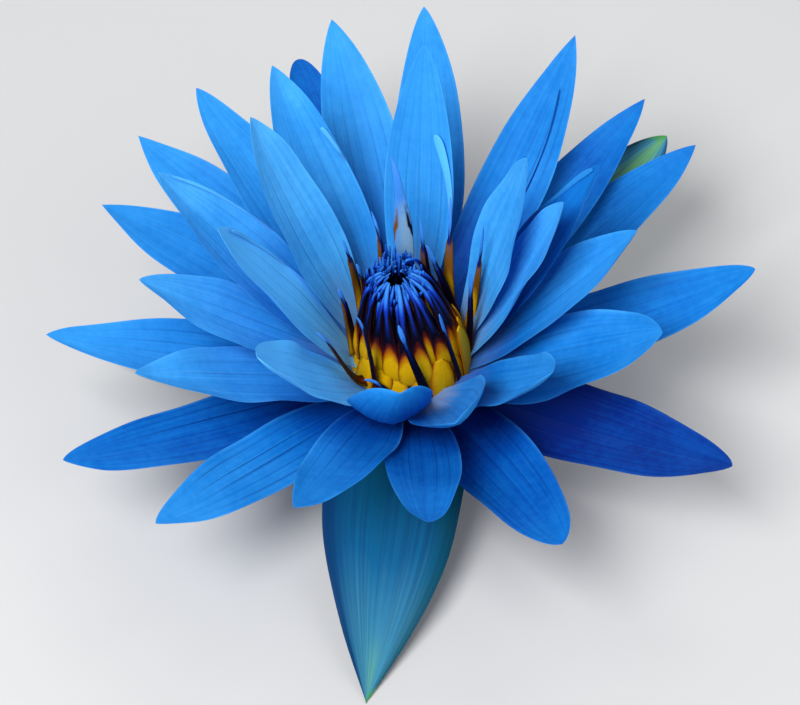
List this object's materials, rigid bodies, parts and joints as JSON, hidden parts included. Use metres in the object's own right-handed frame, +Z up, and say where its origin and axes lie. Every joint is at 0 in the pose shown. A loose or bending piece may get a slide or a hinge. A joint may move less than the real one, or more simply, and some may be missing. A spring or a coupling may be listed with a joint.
{
  "type": "water lily flower",
  "caption": "Open blue water lily with pointed petals in layers, green-tipped sepals and a cone of dark, yellow-based stamens, cut with a short stub of stalk.",
  "frame": {"origin": "centre of the bounding box, at the height of the cut end that the flower stands on", "axes": "+Z up out of the bloom, -Y towards the side that it is looked at from, +X to the right of it"},
  "size_m": [0.154, 0.1578, 0.0743],
  "materials": {
    "petal_outer": "soft petal skin, a low sheen, deep blue with fine veins",
    "petal_middle": "soft petal skin, a low sheen, clear blue",
    "petal_inner": "soft petal skin, a low sheen, light blue, lilac-white at the base",
    "sepal": "soft leafy skin, blue-green with dark parallel veins, green at the edge and tip",
    "stalk": "smooth green stalk, semi-matte",
    "stigma": "moist golden yellow, matte",
    "stamen_inner": "matte, yellow at the base, dark maroon in the middle and blue at the tip",
    "stamen_outer": "matte, golden at the base, dark maroon above and pale blue at the tip"
  },
  "bodies": {
    "root": {"petal_inner_01": "petal_inner", "petal_inner_02": "petal_inner", "petal_inner_03": "petal_inner", "petal_inner_04": "petal_inner", "petal_inner_05": "petal_inner", "petal_inner_06": "petal_inner", "petal_inner_07": "petal_inner", "petal_inner_08": "petal_inner", "petal_middle_01": "petal_middle", "petal_middle_02": "petal_middle", "petal_middle_03": "petal_middle", "petal_middle_04": "petal_middle", "petal_middle_05": "petal_middle", "petal_middle_06": "petal_middle", "petal_middle_07": "petal_middle", "petal_middle_08": "petal_middle", "petal_outer_01": "petal_outer", "petal_outer_02": "petal_outer", "petal_outer_03": "petal_outer", "petal_outer_04": "petal_outer", "petal_outer_05": "petal_outer", "petal_outer_06": "petal_outer", "petal_outer_07": "petal_outer", "petal_outer_08": "petal_outer", "petal_outer_09": "petal_outer", "petal_outer_10": "petal_outer", "petal_outer_11": "petal_outer", "petal_outer_12": "petal_outer", "petal_outer_13": "petal_outer", "petal_outer_14": "petal_outer", "petal_outer_15": "petal_outer", "petal_outer_16": "petal_outer", "petal_outer_17": "petal_outer", "sepal_back": "sepal", "sepal_front": "sepal", "sepal_left": "sepal", "sepal_right": "sepal", "stalk_and_receptacle": "stalk", "stamens_inner": "stamen_inner", "stamens_outer": "stamen_outer", "stigma_disc": "stigma"}
  },
  "joints": []
}
